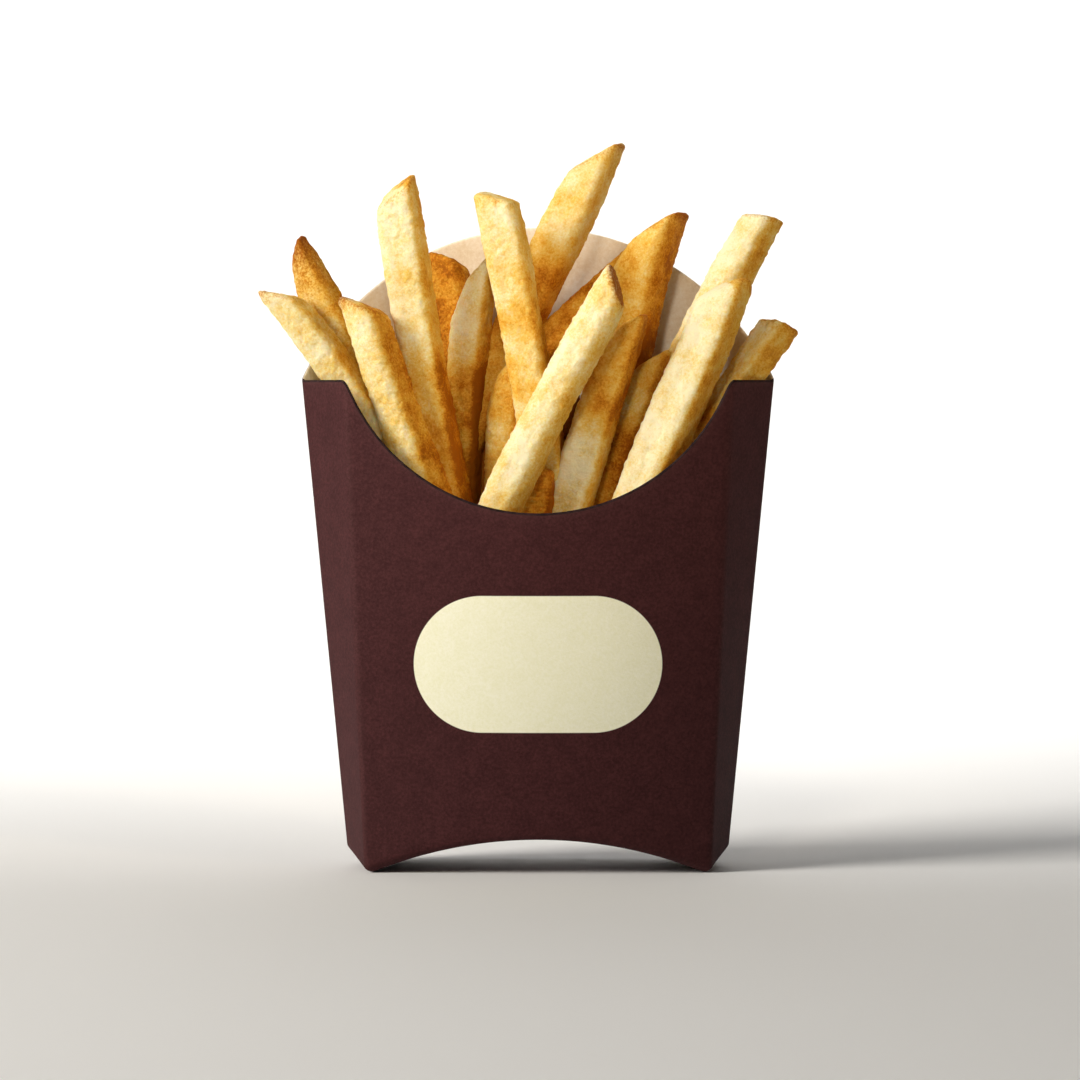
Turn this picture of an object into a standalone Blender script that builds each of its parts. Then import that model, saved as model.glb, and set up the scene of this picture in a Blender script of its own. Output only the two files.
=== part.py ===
# French fries standing in a folded card scoop carton.
#
# Metres, Z up, front towards -Y. The carton stands on its four lower corners at Z = 0,
# and the middle of the whole object's outline is at X = 0, Y = 0. Dimensions below are
# in millimetres from the carton's own middle, and MM turns them into metres.
import math

import bmesh
import bpy
from mathutils import Vector

MM = 0.001

# Place of the carton's middle in the object's frame.
CARTON_X = 2.1
CARTON_Y = -1.3

# Carton: a flat blank folded at four upright creases, with a third crease down the middle
# of each side. Half sizes are given at the foot and at the shoulder, and run straight between.
SHOULDER_Z = 102.7
SIDE_FOOT, SIDE_TOP = 40.0, 50.0
CREASE_FOOT, CREASE_TOP = 36.0, 40.2
DEPTH_FOOT, DEPTH_TOP = 12.5, 13.5
BULGE_FOOT, BULGE_TOP = 4.5, 8.0
BOARD = 0.5
SCOOP_LOW_Z = 75.2
BACK_TOP_Z = 135.5
ARCH_RISE = 7.3
SIDE_RISE = 3.7
PANEL_COLUMNS = 22
BACK_FACET_COLUMNS = 3

# Heap: a core that fills the carton's lower part, with the fries rising out of it.
CORE_TOP_Z = 70.0
CORE_GAP = 1.5
FOOT_Z = 62.0
CHAMFER = 0.17
END_CHAMFER = 1.3
END_SCALE = 0.74

# Fries that show, from the left: tip x, y, z, the foot's y, lean to the right in degrees,
# width seen from the front, turn about the fry's own length, and slope of its cut end.
FRIES = [
    (-53.6, -1.5, 120.6, 0.0, -34, 8.4, 46, -45),
    (-50.7, 5.0, 128.8, 4.0, -30, 7.8, 34, 43),
    (-36.5, -9.0, 118.2, -9.0, -20, 10.3, 36, -40),
    (-29.8, -5.0, 143.0, -2.0, -10, 10.3, 16, 33),
    (-19.2, 13.5, 128.1, 11.0, -6, 9.0, 25, -30),
    (-13.6, 7.0, 123.7, 8.0, 3, 9.5, 38, 45),
    (-8.8, -4.0, 141.0, -3.0, -10, 9.4, 20, -22),
    (-4.3, 1.0, 108.3, 2.0, 8, 9.0, 15, 30),
    (0.2, -6.0, 84.0, -6.0, 5, 9.0, 10, 8),
    (12.4, 13.0, 149.6, 8.0, 26, 10.2, 20, 58),
    (15.4, -14.0, 121.7, -11.0, 27, 10.4, 16, -42),
    (18.9, -5.0, 113.6, -5.0, 17, 9.6, 14, 45),
    (23.6, 11.5, 134.2, 8.0, 12, 12.4, 30, 42),
    (24.6, 2.0, 106.4, 1.0, 19, 9.0, 25, 45),
    (38.0, -9.0, 119.6, -8.0, 24, 10.7, 34, 45),
    (47.0, 4.0, 136.8, 3.0, 28, 9.6, 34, 19),
    (51.0, -1.5, 114.7, 0.0, 36, 8.4, 45, 19),
]

# The one that lies across behind the others starts higher up.
CROSSING_FRY = (17.5, 14.0, 128.4, 11.0, 42, 9.0, 28, 37)
CROSSING_FOOT_Z = 88.0

# Shorter fries that fill the heap between and behind the others, spread across the carton.
# A golden step mixes their heights, so that no two neighbours are alike.
FILLER_COUNT = 13
FILLER_REACH_X = 31.0
FILLER_Y = (10.5, 3.0)
FILLER_TIP_Z = (88.0, 104.0)
FILLER_WIDTH = (8.6, 10.0)
FILLER_LEAN = 0.55
FILLER_TURN = (10.0, 40.0)
FILLER_SLOPE = (-35.0, 35.0)
GOLDEN_STEP = 0.618034


def along(foot, top, z):
    """A half size of the carton at height z, on the straight line from foot to shoulder."""
    return foot + (top - foot) * z / SHOULDER_Z


def panel_point(u, side, z, inset=0.0):
    """A point on the front panel (side -1) or the back panel (side +1), u from -1 to 1."""
    x = u * (along(CREASE_FOOT, CREASE_TOP, z) - inset)
    bulge = along(BULGE_FOOT, BULGE_TOP, z) * (1.0 - u * u)
    y = along(DEPTH_FOOT, DEPTH_TOP, z) - inset + bulge
    return Vector((x, side * y, z))


def facet_point(v, end, side, z, inset=0.0):
    """A point on a side facet: v is 0 at the panel's crease and 1 at the side's middle crease."""
    crease = panel_point(end, side, z, inset)
    middle = Vector((end * (along(SIDE_FOOT, SIDE_TOP, z) - inset * 1.2), 0.0, z))
    return crease.lerp(middle, v)


def arc_through(half_chord, rise):
    """Radius of the arc with this half chord and rise."""
    return (half_chord ** 2 + rise ** 2) / (2.0 * rise)


def scoop_height(x):
    """Height of the front panel's scooped edge."""
    radius = arc_through(CREASE_TOP, SHOULDER_Z - SCOOP_LOW_Z)
    reach = min(abs(x), CREASE_TOP)
    return SCOOP_LOW_Z + radius - math.sqrt(radius ** 2 - reach ** 2)


def dome_height(x):
    """Height of the back panel's round edge, which starts at the side corners."""
    radius = arc_through(SIDE_TOP, BACK_TOP_Z - SHOULDER_Z)
    reach = min(abs(x), SIDE_TOP)
    return BACK_TOP_Z - radius + math.sqrt(radius ** 2 - reach ** 2)


def edge_point(point_at, height_at):
    """Where an upright line of the wall meets its top edge, found by stepping to the height."""
    z = SHOULDER_Z
    for _ in range(30):
        z = height_at(point_at(z).x)
    return point_at(z)


def arch_height(u):
    """Height of the bottom's arch under the panel column u."""
    return ARCH_RISE * (1.0 - u * u)


def make_material(name, color, roughness):
    material = bpy.data.materials.new(name)
    material.use_nodes = True
    shader = material.node_tree.nodes["Principled BSDF"]
    shader.inputs["Base Color"].default_value = (*color, 1.0)
    shader.inputs["Roughness"].default_value = roughness
    shader.inputs["Metallic"].default_value = 0.0
    return material


def make_object(name, mesh, parent):
    item = bpy.data.objects.new(name, mesh)
    bpy.context.scene.collection.objects.link(item)
    item.parent = parent
    return item


def panel_columns():
    """Column places across a panel, even in angle along the scoop's arc."""
    radius = arc_through(CREASE_TOP, SHOULDER_Z - SCOOP_LOW_Z)
    widest = math.asin(CREASE_TOP / radius)
    angles = [widest * (2.0 * i / PANEL_COLUMNS - 1.0) for i in range(PANEL_COLUMNS + 1)]
    return [math.sin(angle) / math.sin(widest) for angle in angles]


def wall_stations():
    """The carton's upright lines in order round it: the bottom point and the top point of each."""
    columns = panel_columns()
    stations = []

    def panel(side, order):
        height_at = scoop_height if side < 0 else dome_height
        for u in order:
            stations.append((
                panel_point(u, side, arch_height(u)),
                edge_point(lambda z: panel_point(u, side, z), height_at),
            ))

    def facets(end, order):
        for side, v in order:
            foot = facet_point(v, end, side, SIDE_RISE * v)
            if side < 0:
                top = facet_point(v, end, side, SHOULDER_Z)
            else:
                top = edge_point(lambda z: facet_point(v, end, side, z), dome_height)
            stations.append((foot, top))

    back = [(1, 1.0 - i / BACK_FACET_COLUMNS) for i in range(1, BACK_FACET_COLUMNS)]
    panel(-1, columns)
    facets(1, [(-1, 1.0)] + back)
    panel(1, columns[::-1])
    facets(-1, back[::-1] + [(-1, 1.0)])
    return stations


def make_carton(parent):
    """The folded board: walls and arched bottom as one sheet, thickened inwards."""
    sheet = bmesh.new()
    lines = [
        (sheet.verts.new(foot * MM), sheet.verts.new(top * MM))
        for foot, top in wall_stations()
    ]
    for (foot_a, top_a), (foot_b, top_b) in zip(lines, lines[1:] + lines[:1]):
        sheet.faces.new((foot_a, foot_b, top_b, top_a))

    feet = [foot for foot, _ in lines]
    front = feet[:PANEL_COLUMNS + 1]
    back_start = PANEL_COLUMNS + 1 + BACK_FACET_COLUMNS
    back = feet[back_start:back_start + PANEL_COLUMNS + 1][::-1]
    for i in range(PANEL_COLUMNS):
        sheet.faces.new((front[i + 1], front[i], back[i], back[i + 1]))
    right = feet[PANEL_COLUMNS:back_start + 1]
    left = feet[back_start + PANEL_COLUMNS:] + feet[:1]
    sheet.faces.new(right[::-1])
    sheet.faces.new(left[::-1])

    mesh = bpy.data.meshes.new("carton")
    sheet.to_mesh(mesh)
    sheet.free()
    mesh.materials.append(make_material("printed_card", (0.055, 0.016, 0.018), 0.62))
    mesh.shade_smooth()
    mesh.set_sharp_from_angle(angle=math.radians(20.0))
    carton = make_object("carton", mesh, parent)
    thickness = carton.modifiers.new("board thickness", "SOLIDIFY")
    thickness.thickness = BOARD * MM
    thickness.offset = -1.0
    thickness.use_even_offset = True
    return carton


def make_core():
    """A plain solid that follows the carton's inside up to the level where fries take over."""
    columns = panel_columns()
    loops = []
    for level in (0.0, 1.0):
        loop = []
        for side, order in ((-1, columns), (1, columns[::-1])):
            for u in order[::2]:
                low = arch_height(u) + CORE_GAP
                loop.append(panel_point(u, side, low + level * (CORE_TOP_Z - low), CORE_GAP))
        loops.append(loop)
    solid = bmesh.new()
    low, high = [[solid.verts.new(point * MM) for point in loop] for loop in loops]
    count = len(low)
    for i in range(count):
        j = (i + 1) % count
        solid.faces.new((low[i], low[j], high[j], high[i]))
    half = count // 2
    for i in range(half - 1):
        front_a, front_b = i, i + 1
        back_a, back_b = count - 1 - i, count - 2 - i
        solid.faces.new((low[front_b], low[front_a], low[back_a], low[back_b]))
        solid.faces.new((high[front_a], high[front_b], high[back_b], high[back_a]))
    bmesh.ops.triangulate(solid, faces=solid.faces[:])
    mesh = bpy.data.meshes.new("fries")
    solid.to_mesh(mesh)
    solid.free()
    return mesh


def fry_axis(fry, foot_z):
    """Tip point and the unit vector from the tip down to the foot, with the fry's length."""
    tip_x, tip_y, tip_z, foot_y, lean = fry[:5]
    drop = tip_z - foot_z
    foot_x = tip_x - drop * math.tan(math.radians(lean))
    tip = Vector((tip_x, tip_y, tip_z))
    run = Vector((foot_x, foot_y, foot_z)) - tip
    return tip, run.normalized(), run.length


def fry_rings(fry, foot_z):
    """Eight-sided sections from the cut end down to the foot, as lists of points."""
    width, turn, slope = fry[5:]
    tip, down, length = fry_axis(fry, foot_z)
    across = Vector((0.0, 1.0, 0.0)).cross(down).normalized() * -1.0
    deep = down.cross(across).normalized()
    cos_t, sin_t = math.cos(math.radians(turn)), math.sin(math.radians(turn))
    side = width / (cos_t + sin_t - 2.0 * CHAMFER * min(cos_t, sin_t))
    half, cut = side / 2.0, side * (0.5 - CHAMFER)
    corners = [
        (half, -cut), (half, cut), (cut, half), (-cut, half),
        (-half, cut), (-half, -cut), (-cut, -half), (cut, -half),
    ]
    section = [(a * cos_t - b * sin_t, a * sin_t + b * cos_t) for a, b in corners]
    reach = half * 1.3 * abs(math.tan(math.radians(slope))) + 3.0
    stops = [
        (0.0, END_SCALE, slope), (END_CHAMFER, 1.0, slope),
        (reach, 1.03, 0.0), ((reach + length) / 2.0, 0.98, 0.0), (length, 0.94, 0.0),
    ]
    rings = []
    for distance, scale, tilt in stops:
        tangent = math.tan(math.radians(tilt))
        ring = [
            tip + down * (distance - tangent * p * scale) + (across * p + deep * q) * scale
            for p, q in section
        ]
        rings.append(ring)
    return rings


def make_fry(name, fry, foot_z, collection, parent):
    solid = bmesh.new()
    rings = [[solid.verts.new(point * MM) for point in ring] for ring in fry_rings(fry, foot_z)]
    for upper, lower in zip(rings, rings[1:]):
        for i in range(len(upper)):
            j = (i + 1) % len(upper)
            solid.faces.new((upper[i], upper[j], lower[j], lower[i]))
    solid.faces.new(rings[0][::-1])
    solid.faces.new(rings[-1])
    bmesh.ops.recalc_face_normals(solid, faces=solid.faces[:])
    bmesh.ops.triangulate(solid, faces=solid.faces[:])
    mesh = bpy.data.meshes.new(name)
    solid.to_mesh(mesh)
    solid.free()
    item = bpy.data.objects.new(name, mesh)
    item.parent = parent
    collection.objects.link(item)


def between(limits, share):
    return limits[0] + (limits[1] - limits[0]) * share


def filler_fries():
    """Shorter fries in two rows, leaning outwards more the further they stand from the middle."""
    fillers = []
    for i in range(FILLER_COUNT):
        x = FILLER_REACH_X * ((2.0 * i + 1.0) / FILLER_COUNT - 1.0)
        y = FILLER_Y[i % 2]
        mix = i * GOLDEN_STEP % 1.0
        other = i * GOLDEN_STEP * 2.0 % 1.0
        fillers.append((
            x, y, between(FILLER_TIP_Z, mix), y * 0.8, x * FILLER_LEAN,
            between(FILLER_WIDTH, other), between(FILLER_TURN, mix), between(FILLER_SLOPE, other),
        ))
    return fillers


def keep_largest_piece(mesh):
    """Drop sealed hollows and loose scraps, which are separate shells of the mesh."""
    solid = bmesh.new()
    solid.from_mesh(mesh)
    left = set(solid.faces)
    shells = []
    while left:
        stack = [left.pop()]
        shell = list(stack)
        while stack:
            face = stack.pop()
            for edge in face.edges:
                for other in edge.link_faces:
                    if other in left:
                        left.remove(other)
                        shell.append(other)
                        stack.append(other)
        shells.append(shell)
    shells.sort(key=len)
    for shell in shells[:-1]:
        bmesh.ops.delete(solid, geom=shell, context="FACES")
    solid.to_mesh(mesh)
    solid.free()


def make_fries(parent):
    """The heap as one solid: the core and every fry joined by one union."""
    heap = make_object("fries", make_core(), parent)
    loose = bpy.data.collections.new("loose fries")
    for number, fry in enumerate(FRIES + filler_fries()):
        make_fry("fry_{:02d}".format(number), fry, FOOT_Z, loose, parent)
    make_fry("crossing_fry", CROSSING_FRY, CROSSING_FOOT_Z, loose, parent)

    union = heap.modifiers.new("union", "BOOLEAN")
    union.operation = "UNION"
    union.operand_type = "COLLECTION"
    union.collection = loose
    union.solver = "EXACT"
    bpy.context.view_layer.update()
    joined = bpy.data.meshes.new_from_object(
        heap.evaluated_get(bpy.context.evaluated_depsgraph_get())
    )
    heap.modifiers.clear()
    heap.data = joined
    for item in list(loose.objects):
        bpy.data.objects.remove(item, do_unlink=True)
    bpy.data.collections.remove(loose)

    joined.name = "fries"
    keep_largest_piece(joined)
    joined.materials.clear()
    joined.materials.append(make_material("fried_potato", (0.82, 0.50, 0.14), 0.55))
    joined.shade_smooth()
    joined.set_sharp_from_angle(angle=math.radians(30.0))
    return heap


def main():
    for item in list(bpy.data.objects):
        bpy.data.objects.remove(item, do_unlink=True)
    middle = bpy.data.objects.new("carton_middle", None)
    bpy.context.scene.collection.objects.link(middle)
    middle.location = (CARTON_X * MM, CARTON_Y * MM, 0.0)
    make_carton(middle)
    make_fries(middle)


main()
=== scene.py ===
import math
import bpy
import numpy as np
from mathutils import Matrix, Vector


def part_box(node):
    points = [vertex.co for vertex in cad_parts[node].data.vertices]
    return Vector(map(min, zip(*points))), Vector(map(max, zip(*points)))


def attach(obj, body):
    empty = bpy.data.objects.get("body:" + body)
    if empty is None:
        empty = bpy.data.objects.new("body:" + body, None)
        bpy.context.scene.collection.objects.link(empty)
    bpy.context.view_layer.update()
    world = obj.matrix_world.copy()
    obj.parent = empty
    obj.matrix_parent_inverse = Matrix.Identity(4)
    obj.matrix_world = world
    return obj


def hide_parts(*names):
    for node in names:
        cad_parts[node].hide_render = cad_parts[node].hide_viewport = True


# French fries in a scoop carton: the card and the potato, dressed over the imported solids.
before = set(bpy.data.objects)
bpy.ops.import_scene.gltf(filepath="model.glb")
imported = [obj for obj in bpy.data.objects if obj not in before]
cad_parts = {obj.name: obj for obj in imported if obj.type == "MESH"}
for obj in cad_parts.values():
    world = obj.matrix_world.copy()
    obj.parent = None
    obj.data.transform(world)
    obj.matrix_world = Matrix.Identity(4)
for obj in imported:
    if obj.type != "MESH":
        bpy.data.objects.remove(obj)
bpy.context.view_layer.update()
mm = 0.001

# Shapes below are in millimetres from the carton's own middle, front towards -Y.
cartonSpec = {
    "shoulderZ": 102.7, "scoopLowZ": 75.2, "backTopZ": 135.5,
    "sideFoot": 40.0, "sideTop": 50.0,        # half width at the side's middle fold
    "creaseFoot": 36.0, "creaseTop": 40.2,    # half width at the panels' folds
    "depthFoot": 12.5, "depthTop": 13.5,      # half depth at those folds
    "bulgeFoot": 4.5, "bulgeTop": 8.0,        # how far each panel bows out beyond them
    "archRise": 7.3, "sideRise": 3.7,
    "panelRun": 41.5, "facetRun": 16.6,       # lengths round the section: half a panel, a side facet
    "board": 0.5,
    "foldRound": 1.4,                         # half the run that a fold is rounded over
    "foldTaps": 9, "foldTaper": 1.25,         # points of that average, and where their weight would end
    "sharperInset": 1.2,                      # a side's middle fold is sharper, so its inset is longer
    "hemRound": 1.3,                          # radius where the walls turn under the bottom
    "step": 1.0, "fineStep": 0.3, "fineReach": 2.1,
    "leastStep": 0.6,                         # of a fine step: a column closer than this is dropped
    "rows": 92, "hemRows": 6, "bottomRows": 26,
    "edgeShares": (0.45, 0.8, 1.0),           # where the rows in the edge band lie
    "edgeShadeRows": (3, 2),                       # rows of faces painted near black as shade along the scoop's edge, outside and inside
    "topRounds": 30,                          # rounds in which the top's height settles
    "waviness": 0.22, "wavePitch": 24.0, "waveStart": 12.0,
    # the back panel's glued edge: how proud, where it rises, stays flat and ends, and how high it starts
    "seamStep": 0.4, "seamRise": (-0.35, 0.1), "seamFlat": 2.0, "seamRun": 14.0, "seamStart": 3.0,
    "edgeRound": 0.22, "edgeBand": 0.5,       # the pressed edge of the scoop, whose front is painted dark as shade
    "foldWear": (0.7, 0.3), "edgeWear": (1.2, 0.7),   # rubbed paler: over what width, and how much
}

pillSpec = {"width": 51.6, "height": 28.5, "middleZ": 43.9, "edge": 0.12}


def along(foot, top, z):
    # a half size at height z, on the straight line from the foot to the shoulder
    return foot + (top - foot) * z / cartonSpec["shoulderZ"]


def arcThrough(halfChord, rise):
    # radius of the arc that rises this much over its half chord
    return (halfChord ** 2 + rise ** 2) / (2.0 * rise)


backDepthTop = (along(cartonSpec["depthFoot"], cartonSpec["depthTop"], cartonSpec["backTopZ"])
                + along(cartonSpec["bulgeFoot"], cartonSpec["bulgeTop"], cartonSpec["backTopZ"]))
cartonLow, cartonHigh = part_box("carton")
middle = np.array([(cartonLow[0] + cartonHigh[0]) / 2.0 / mm, cartonHigh[1] / mm - backDepthTop, 0.0])


# Colours and shader nodes

def hexColor(code):
    # sRGB hex to the linear values that the shader takes
    values = [int(code[i:i + 2], 16) / 255.0 for i in (1, 3, 5)]
    linear = [v / 12.92 if v <= 0.04045 else ((v + 0.055) / 1.055) ** 2.4 for v in values]
    return (*linear, 1.0)


def addNode(tree, kind, settings=None, links=None, stops=(), out=0):
    # one node with its settings, its inputs as name: value or output socket, and a ramp's colours;
    # it gives the output that the next node reads
    node = tree.nodes.new(kind)
    for key, value in (settings or {}).items():
        setattr(node, key, value)
    for key, value in (links or {}).items():
        if isinstance(value, bpy.types.NodeSocket):
            tree.links.new(value, node.inputs[key])
        else:
            node.inputs[key].default_value = value
    for i, (position, code) in enumerate(stops):
        element = node.color_ramp.elements[i] if i < 2 else node.color_ramp.elements.new(position)
        element.position = position
        element.color = hexColor(code)
    return node.outputs[out]


def newMaterial(name):
    material = bpy.data.materials.new(name)
    material.use_nodes = True
    tree = material.node_tree
    return material, tree, tree.nodes["Principled BSDF"]


# Meshes from arrays

def gridFaces(rows, columns, closed, flip=False):
    # four-cornered faces of a grid of points stored row by row
    r = np.arange(rows - 1)[:, None] * columns
    c = np.arange(columns if closed else columns - 1)[None, :]
    n = (c + 1) % columns
    quads = np.stack([r + c, r + n, r + columns + n, r + columns + c], axis=-1).reshape(-1, 4)
    return quads[:, ::-1] if flip else quads


def poleFaces(rows, columns):
    # triangles that close the first and the last row on two points stored after the grid
    i = np.arange(columns)
    n = (i + 1) % columns
    count = rows * columns
    first = np.stack([n, i, np.full(columns, count)], axis=-1)
    last = np.stack([i + count - columns, n + count - columns, np.full(columns, count + 1)], axis=-1)
    return np.concatenate([first, last])


def meshFromArrays(name, points, quads, triangles=None, slots=None):
    # points in millimetres from the carton's middle; quads and triangles as index arrays
    triangles = np.zeros((0, 3), int) if triangles is None else triangles
    mesh = bpy.data.meshes.new(name)
    corners = np.concatenate([quads.ravel(), triangles.ravel()]).astype(np.int32)
    totals = np.concatenate([np.full(len(quads), 4), np.full(len(triangles), 3)]).astype(np.int32)
    starts = (np.cumsum(totals) - totals).astype(np.int32)
    mesh.vertices.add(len(points))
    mesh.vertices.foreach_set("co", ((points + middle) * mm).astype(np.float32).ravel())
    mesh.loops.add(len(corners))
    mesh.loops.foreach_set("vertex_index", corners)
    mesh.polygons.add(len(totals))
    mesh.polygons.foreach_set("loop_start", starts)
    mesh.polygons.foreach_set("loop_total", totals)
    if slots is not None:
        mesh.polygons.foreach_set("material_index", slots.astype(np.int32))
    mesh.update(calc_edges=True)
    mesh.validate()
    mesh.shade_smooth()
    return mesh


def addPiece(name, mesh, materials, node):
    for material in materials:
        mesh.materials.append(material)
    piece = bpy.data.objects.new(name, mesh)
    bpy.context.scene.collection.objects.link(piece)
    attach(piece, "root")
    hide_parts(node)


def addLayer(mesh, name, values):
    layer = mesh.attributes.new(name, "FLOAT", "POINT")
    layer.data.foreach_set("value", values.astype(np.float32).ravel())


latticeSize = 48   # the values are seeded, so each run gives the same shapes
lattice = np.random.default_rng(5).random((latticeSize, latticeSize, latticeSize)) * 2.0 - 1.0


def lumps(points, pitch, shift=0.0):
    # smooth noise from -1 to 1: lattice values pitch millimetres apart, blended between
    q = points / pitch + shift
    base = np.floor(q).astype(int)
    f = q - base
    f = f * f * (3.0 - 2.0 * f)
    total = np.zeros(points.shape[:-1])
    for dx in (0, 1):
        for dy in (0, 1):
            for dz in (0, 1):
                weight = (np.abs(1 - dx - f[..., 0]) * np.abs(1 - dy - f[..., 1])
                          * np.abs(1 - dz - f[..., 2]))
                i = (base + (dx, dy, dz)) % latticeSize
                total += weight * lattice[i[..., 0], i[..., 1], i[..., 2]]
    return total


def easeStep(low, high, x):
    # 0 below low and 1 above high, with a smooth cubic between
    t = np.clip((x - low) / (high - low), 0.0, 1.0)
    return t * t * (3.0 - 2.0 * t)


# The carton

halfRun = 2.0 * (cartonSpec["panelRun"] + cartonSpec["facetRun"])
foldRuns = np.array([0.0, cartonSpec["facetRun"], halfRun - cartonSpec["facetRun"], halfRun])


def sharpSection(run, z, inset=0.0):
    # A point of the six-sided section: run is the distance round it from the left fold, front first.
    # x goes straight out to the panel's fold and on to the side's middle fold. y is the half depth,
    # which falls to nothing along the side facet, plus a parabola that bows the panel out.
    run = np.mod(run, 2.0 * halfRun)
    side = np.where(run <= halfRun, -1.0, 1.0)
    half = np.where(run <= halfRun, run, 2.0 * halfRun - run) - halfRun / 2.0
    u = np.clip(half / cartonSpec["panelRun"], -1.0, 1.0)
    v = np.clip((np.abs(half) - cartonSpec["panelRun"]) / cartonSpec["facetRun"], 0.0, 1.0)
    crease = along(cartonSpec["creaseFoot"], cartonSpec["creaseTop"], z) - inset
    outer = along(cartonSpec["sideFoot"], cartonSpec["sideTop"], z) - inset * cartonSpec["sharperInset"]
    depth = along(cartonSpec["depthFoot"], cartonSpec["depthTop"], z) - inset
    bulge = along(cartonSpec["bulgeFoot"], cartonSpec["bulgeTop"], z) * (1.0 - u * u)
    x = u * crease + np.sign(half) * v * (outer - crease)
    y = side * (depth * (1.0 - v) + bulge)
    return x, y, u, v, side


def foldAverage(values):
    # average of a function over the short run that a fold is rounded over, its middle weighing most
    reach = cartonSpec["foldRound"]
    taps = np.linspace(-reach, reach, cartonSpec["foldTaps"])
    weights = 1.0 - np.abs(taps) / (reach * cartonSpec["foldTaper"])
    weights /= weights.sum()
    return sum(weight * values(tap) for tap, weight in zip(taps, weights))


def wallPoints(run, z, inset):
    # points of the wall at height z, inset from its outer face, with the folds rounded
    def at(tap):
        x, y = sharpSection(run + tap, z, inset)[:2]
        return np.stack([x, y], axis=-1)
    flat = foldAverage(at)
    return np.concatenate([flat, np.broadcast_to(z, flat.shape[:-1])[..., None]], axis=-1)


def topHeight(run):
    # The scoop's arc on the front, level on its side facets, and the round back, each a circle over x.
    # x grows with the height, so the height is worked out over again until it settles.
    shoulder = cartonSpec["shoulderZ"]
    scoopR = arcThrough(cartonSpec["creaseTop"], shoulder - cartonSpec["scoopLowZ"])
    domeR = arcThrough(cartonSpec["sideTop"], cartonSpec["backTopZ"] - shoulder)
    z = np.full(run.shape, shoulder)
    for _ in range(cartonSpec["topRounds"]):
        x, _, _, v, side = sharpSection(run, z)
        reach = np.minimum(np.abs(x), cartonSpec["creaseTop"])
        scoop = cartonSpec["scoopLowZ"] + scoopR - np.sqrt(scoopR ** 2 - reach ** 2)
        front = np.where(v > 0.0, shoulder, scoop)
        reach = np.minimum(np.abs(x), cartonSpec["sideTop"])
        back = cartonSpec["backTopZ"] - domeR + np.sqrt(domeR ** 2 - reach ** 2)
        z = np.where(side < 0.0, front, back)
    return z


def footHeight(run):
    # the bottom's arch under the panels, rising again to each side's middle fold
    _, _, u, v, _ = sharpSection(run, 0.0)
    return cartonSpec["archRise"] * (1.0 - u * u) + cartonSpec["sideRise"] * v


def sectionRuns():
    # column places: even steps, with finer ones beside each fold, the same front and back
    even = np.arange(0.0, halfRun, cartonSpec["step"])
    reach, fine = cartonSpec["fineReach"], cartonSpec["fineStep"]
    beside = np.arange(-reach, reach + fine / 2.0, fine)
    near = (foldRuns[:, None] + beside[None, :]).ravel()
    near = near[(near >= 0.0) & (near <= halfRun)]
    away = np.abs(even[:, None] - foldRuns[None, :]).min(axis=1) > reach + fine
    front = np.unique(np.round(np.concatenate([even[away], near, foldRuns]), 3))
    keep = np.concatenate([[True], np.diff(front) > fine * cartonSpec["leastStep"]])
    keep[-1] = True
    front = front[keep]
    return front, np.concatenate([front, 2.0 * halfRun - front[-2:0:-1]])


def cartonShell(inset, run):
    # Rows from the bottom's edge up to the top: a quarter circle turns the hem, even steps climb the
    # wall, and the edge band pinches thinner by the cube of its height. Slow noise waves the panels,
    # and the back's glued edge steps out and eases back.
    spec = cartonSpec
    low = foldAverage(lambda tap: footHeight(run + tap))
    high = foldAverage(lambda tap: topHeight(run + tap))
    hemTop = low + spec["hemRound"]
    turn = np.linspace(0.0, math.pi / 2.0, spec["hemRows"])[:, None]
    hem = spec["hemRound"] - inset
    share = np.linspace(0.0, 1.0, spec["rows"])[1:, None]
    edge = np.array(spec["edgeShares"])[:, None]
    wallTop = high - spec["edgeBand"]
    z = np.concatenate([
        hemTop - hem * np.cos(turn),
        hemTop * (1.0 - share) + wallTop * share,
        wallTop + spec["edgeBand"] * edge + 0.0 * run,
    ])
    towards = 1.0 if inset == 0.0 else -1.0
    inward = np.concatenate([
        inset + hem * (1.0 - np.sin(turn)) + 0.0 * low,
        np.full((spec["rows"] - 1, len(run)), inset),
        inset + towards * spec["edgeRound"] * edge ** 3 + 0.0 * run,
    ])
    points = wallPoints(np.broadcast_to(run, z.shape), z, inward)
    wave = lumps(points, spec["wavePitch"]) * easeStep(0.0, spec["waveStart"], z - low)
    points[..., 1] += spec["waviness"] * wave
    if inset == 0.0:
        beyond = run - (halfRun + spec["facetRun"])
        proud = spec["seamStep"] * easeStep(*spec["seamRise"], beyond)
        proud = proud * (1.0 - easeStep(spec["seamFlat"], spec["seamRun"], beyond))
        points[..., 1] += proud * easeStep(0.0, spec["seamStart"], z - hemTop)
    return points


def bottomGrid(shell, frontCount):
    # straight lines across from the front edge to the back edge of the shell's lowest row
    ring = shell[0]
    front = ring[:frontCount]
    back = np.concatenate([ring[:1], ring[frontCount - 1:][::-1]])
    share = np.linspace(0.0, 1.0, cartonSpec["bottomRows"])[:, None, None]
    return front[None] * (1.0 - share) + back[None] * share


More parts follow.
